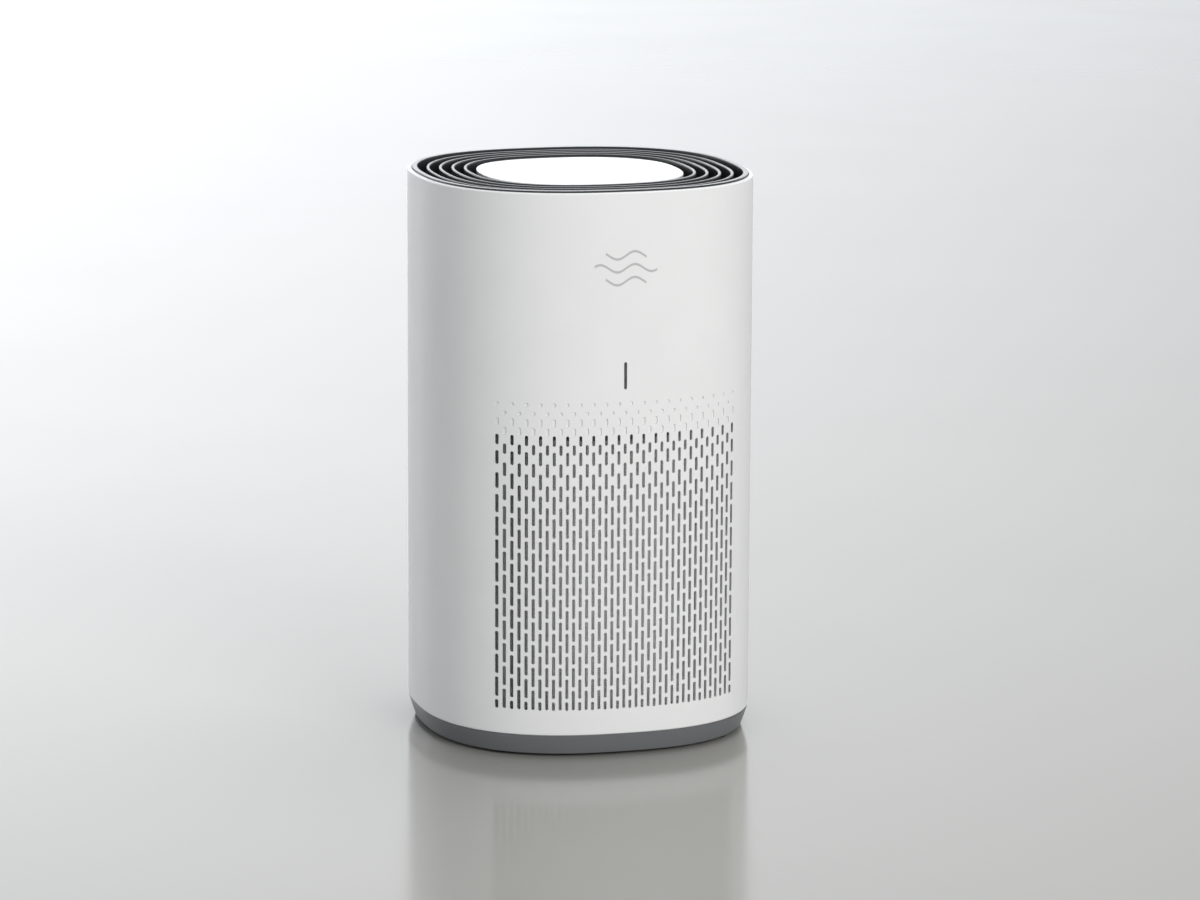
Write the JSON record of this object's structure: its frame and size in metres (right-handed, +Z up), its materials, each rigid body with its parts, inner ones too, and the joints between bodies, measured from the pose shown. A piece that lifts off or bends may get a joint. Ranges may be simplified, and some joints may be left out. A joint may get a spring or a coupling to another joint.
{
  "type": "air purifier",
  "caption": "Rounded-square tower air purifier that draws air in through slotted walls and blows it out of a ring grille on top.",
  "frame": {"origin": "on the ground under the centre of the body, at the underside of the feet", "axes": "+Z up, -Y out of the front with the indicator, +X to the right seen from the front"},
  "size_m": [0.212, 0.212, 0.356],
  "materials": {
    "shell_white": "satin moulded, white",
    "plinth_grey": "satin moulded, dark grey",
    "foot_rubber": "matt, moulded",
    "cover_grey": "satin moulded, dark grey",
    "seal_foam": "closed-cell foam",
    "filter_cap": "cast polyurethane",
    "prefilter_net": "knitted nylon net",
    "filter_paper": "pleated filter paper",
    "carbon_felt": "carbon felt",
    "tab_ribbon": "woven ribbon",
    "inner_white": "moulded, plain",
    "post_grey": "moulded, plain",
    "impeller_plastic": "moulded, glass-filled",
    "shaft_steel": "ground",
    "rotor_magnet": "sintered, coated",
    "stator_copper": "wound enamelled wire",
    "can_steel": "drawn, zinc plated",
    "bearing_steel": "polished",
    "grommet_rubber": "soft, moulded",
    "screw_steel": "zinc plated",
    "board_green": "circuit board",
    "lead_black": "sheathed lead",
    "grille_grey": "gloss moulded, dark grey with silver edges",
    "panel_white": "gloss",
    "spring_brass": "plated",
    "lens_smoke": "smoked, translucent",
    "sensor_black": "moulded",
    "inlet_black": "moulded",
    "plunger_white": "moulded acetal"
  },
  "bodies": {
    "housing": {"outer_shell": "shell_white", "base": "plinth_grey", "feet": "foot_rubber", "filter_bottom_cap": "filter_cap", "filter_top_cap": "filter_cap", "prefilter_sleeve": "prefilter_net", "filter_paper": "filter_paper", "carbon_sleeve": "carbon_felt", "pull_tab": "tab_ribbon", "fan_deck": "inner_white", "deck_seal": "seal_foam", "deck_posts": "post_grey", "fan_housing": "inner_white", "motor_stator": "stator_copper", "motor_can": "can_steel", "motor_bearings": "bearing_steel", "motor_mount": "inner_white", "motor_grommets": "grommet_rubber", "motor_screws": "screw_steel", "main_board": "board_green", "board_cover": "inner_white", "signal_lead": "lead_black", "top_grille": "grille_grey", "control_panel": "panel_white", "control_board": "board_green", "touch_springs": "spring_brass", "indicator_lens": "lens_smoke", "indicator_board": "board_green", "dust_sensor": "sensor_black", "dc_inlet": "inlet_black", "power_lead": "lead_black", "filter_switch": "sensor_black", "base_screws": "screw_steel", "deck_screws": "screw_steel", "grille_screws": "screw_steel"},
    "fan": {"impeller": "impeller_plastic", "motor_shaft": "shaft_steel", "motor_rotor": "rotor_magnet"},
    "cover": {"filter_cover": "cover_grey", "cover_seal": "seal_foam"},
    "plunger": {"switch_plunger": "plunger_white"}
  },
  "joints": [
    {"name": "fan_spin", "type": "hinge", "parent": "housing", "child": "fan", "pos_m": [0, 0, 0.25], "axis": [0, 0, 1], "continuous": true},
    {"name": "cover_twist", "type": "hinge", "parent": "housing", "child": "cover", "pos_m": [0, 0, 0.008], "axis": [0, 0, 1], "range_deg": [0, 25]},
    {"name": "plunger_slide", "type": "slide", "parent": "housing", "child": "plunger", "axis": [0, 0, -1], "range_m": [0, 0.0021]}
  ],
  "couplings": [
    {"joint": "plunger_slide", "follows": "cover_twist", "m_per_rad": 0.0045837}
  ]
}
